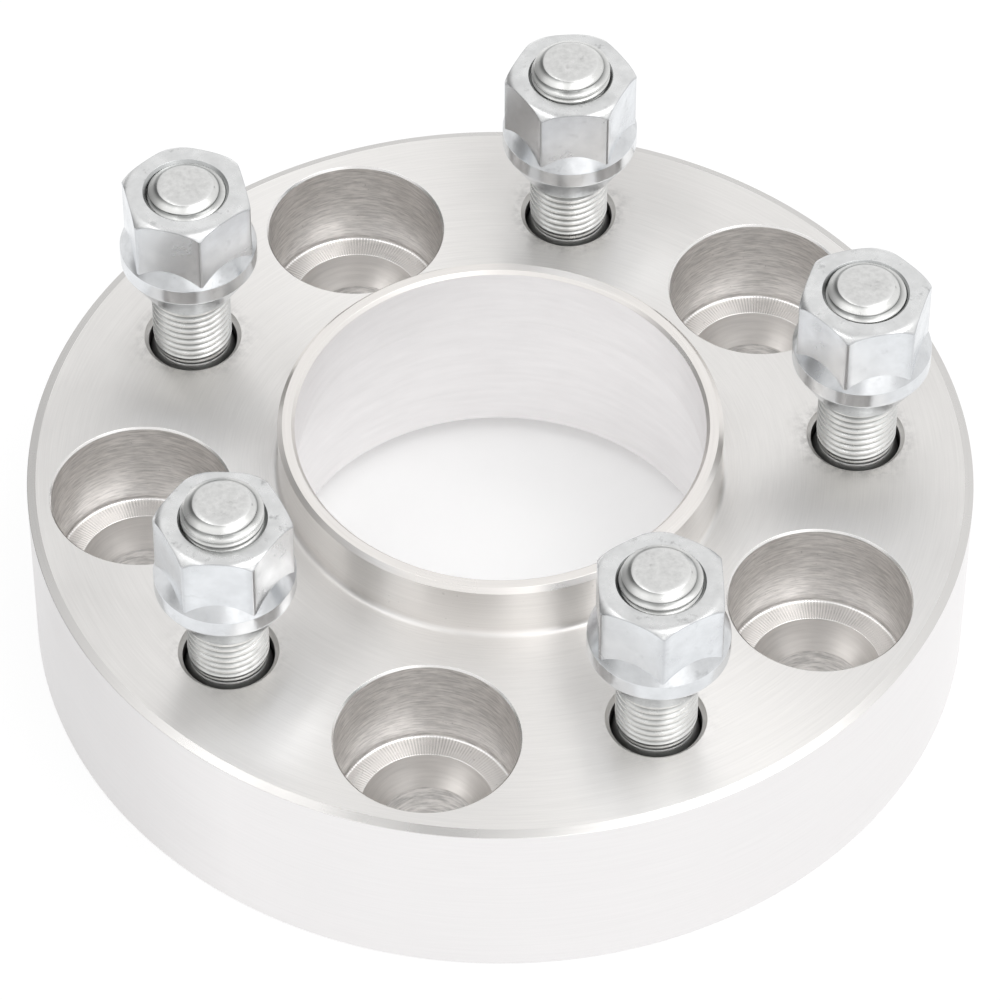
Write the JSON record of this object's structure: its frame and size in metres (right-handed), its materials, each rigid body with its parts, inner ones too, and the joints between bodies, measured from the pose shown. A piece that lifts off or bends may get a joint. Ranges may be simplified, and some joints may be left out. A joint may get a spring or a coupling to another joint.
{
  "type": "wheel spacer",
  "caption": "Thick turned aluminium ring that spaces a road wheel off its hub, with a raised pilot lip, deep stepped lug pockets and press-in studs that carry bulge-seat nuts.",
  "frame": {"origin": "centre of the hub face", "axes": "+Z along the ring's axis, from the hub face to the wheel face and the lip"},
  "size_m": [0.1504, 0.1504, 0.0666],
  "materials": {
    "ring": "bright turned face, brushed rim, milled pockets",
    "stud": "zinc-plated rolled thread",
    "nut": "bright zinc plate"
  },
  "bodies": {
    "spacer": {"spacer_body": "ring", "wheel_stud_1": "stud", "wheel_stud_2": "stud", "wheel_stud_3": "stud", "wheel_stud_4": "stud", "wheel_stud_5": "stud"},
    "nut_1": {"lug_nut_1": "nut"},
    "nut_2": {"lug_nut_2": "nut"},
    "nut_3": {"lug_nut_3": "nut"},
    "nut_4": {"lug_nut_4": "nut"},
    "nut_5": {"lug_nut_5": "nut"}
  },
  "joints": [
    {"name": "nut_1_run", "type": "slide", "parent": "spacer", "child": "nut_1", "axis": [0, 0, 1], "range_m": [-0.0109, 0.0244]},
    {"name": "nut_2_run", "type": "slide", "parent": "spacer", "child": "nut_2", "axis": [0, 0, 1], "range_m": [-0.0118, 0.0235]},
    {"name": "nut_3_run", "type": "slide", "parent": "spacer", "child": "nut_3", "axis": [0, 0, 1], "range_m": [-0.01035, 0.02495]},
    {"name": "nut_4_run", "type": "slide", "parent": "spacer", "child": "nut_4", "axis": [0, 0, 1], "range_m": [-0.01215, 0.02315]},
    {"name": "nut_5_run", "type": "slide", "parent": "spacer", "child": "nut_5", "axis": [0, 0, 1], "range_m": [-0.0098, 0.0255]}
  ]
}
